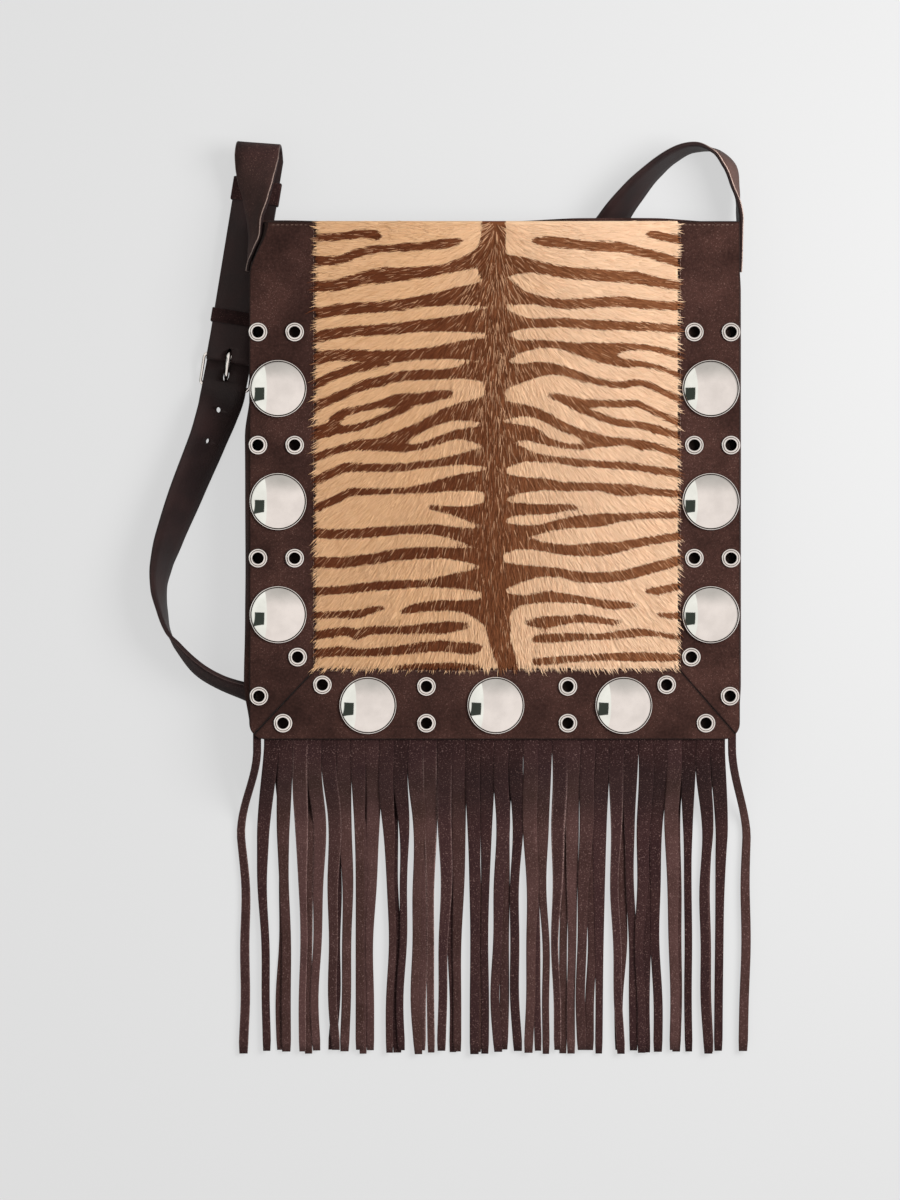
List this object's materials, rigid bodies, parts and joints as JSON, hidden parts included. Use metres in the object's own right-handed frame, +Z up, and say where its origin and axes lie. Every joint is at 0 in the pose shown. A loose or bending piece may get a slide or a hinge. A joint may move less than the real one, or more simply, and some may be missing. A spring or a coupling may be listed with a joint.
{
  "type": "shoulder bag",
  "caption": "Fringed shoulder bag lying on its back: hide panel in studded borders, open mouth, buckled strap tucked underneath.",
  "frame": {"origin": "on the floor, under the middle of the lying bag's overall outline, fringe and strap included", "axes": "+Z up out of the bag's front, +Y from the fringe towards the mouth, +X to the right seen from the front"},
  "size_m": [0.3694, 0.5552, 0.0432],
  "materials": {
    "suede": "dark purplish-brown suede, smooth dark strap lining",
    "hide": "short hair on hide, tan with dark brown stripes",
    "lining": "plain dark woven lining",
    "metal": "polished nickel plate"
  },
  "bodies": {
    "bag": {"hide_panel": "hide", "border_left": "suede", "border_right": "suede", "border_bottom": "suede", "back_panel": "suede", "gusset": "suede", "lining": "lining", "short_strap": "suede", "long_strap": "suede", "lower_keeper": "suede", "buckle_frame": "metal", "stud_1": "metal", "stud_2": "metal", "stud_3": "metal", "stud_4": "metal", "stud_5": "metal", "stud_6": "metal", "stud_7": "metal", "stud_8": "metal", "stud_9": "metal", "eyelet_1": "metal", "eyelet_2": "metal", "eyelet_3": "metal", "eyelet_4": "metal", "eyelet_5": "metal", "eyelet_6": "metal", "eyelet_7": "metal", "eyelet_8": "metal", "eyelet_9": "metal", "eyelet_10": "metal", "eyelet_11": "metal", "eyelet_12": "metal", "eyelet_13": "metal", "eyelet_14": "metal", "eyelet_15": "metal", "eyelet_16": "metal", "eyelet_17": "metal", "eyelet_18": "metal", "eyelet_19": "metal", "eyelet_20": "metal", "eyelet_21": "metal", "eyelet_22": "metal", "eyelet_23": "metal", "eyelet_24": "metal", "fringe_front": "suede", "fringe_back": "suede"},
    "keeper": {"upper_keeper": "suede"},
    "prong": {"buckle_prong": "metal"}
  },
  "joints": [
    {"name": "keeper_slide", "type": "slide", "parent": "bag", "child": "keeper", "axis": [-0.1616, -0.9869, 0], "range_m": [-0.01, 0.02]},
    {"name": "prong_hinge", "type": "hinge", "parent": "bag", "child": "prong", "pos_m": [-0.13762, 0.14739, 0.0082], "axis": [0.9869, -0.1616, 0], "range_deg": [0, 2.8]}
  ]
}
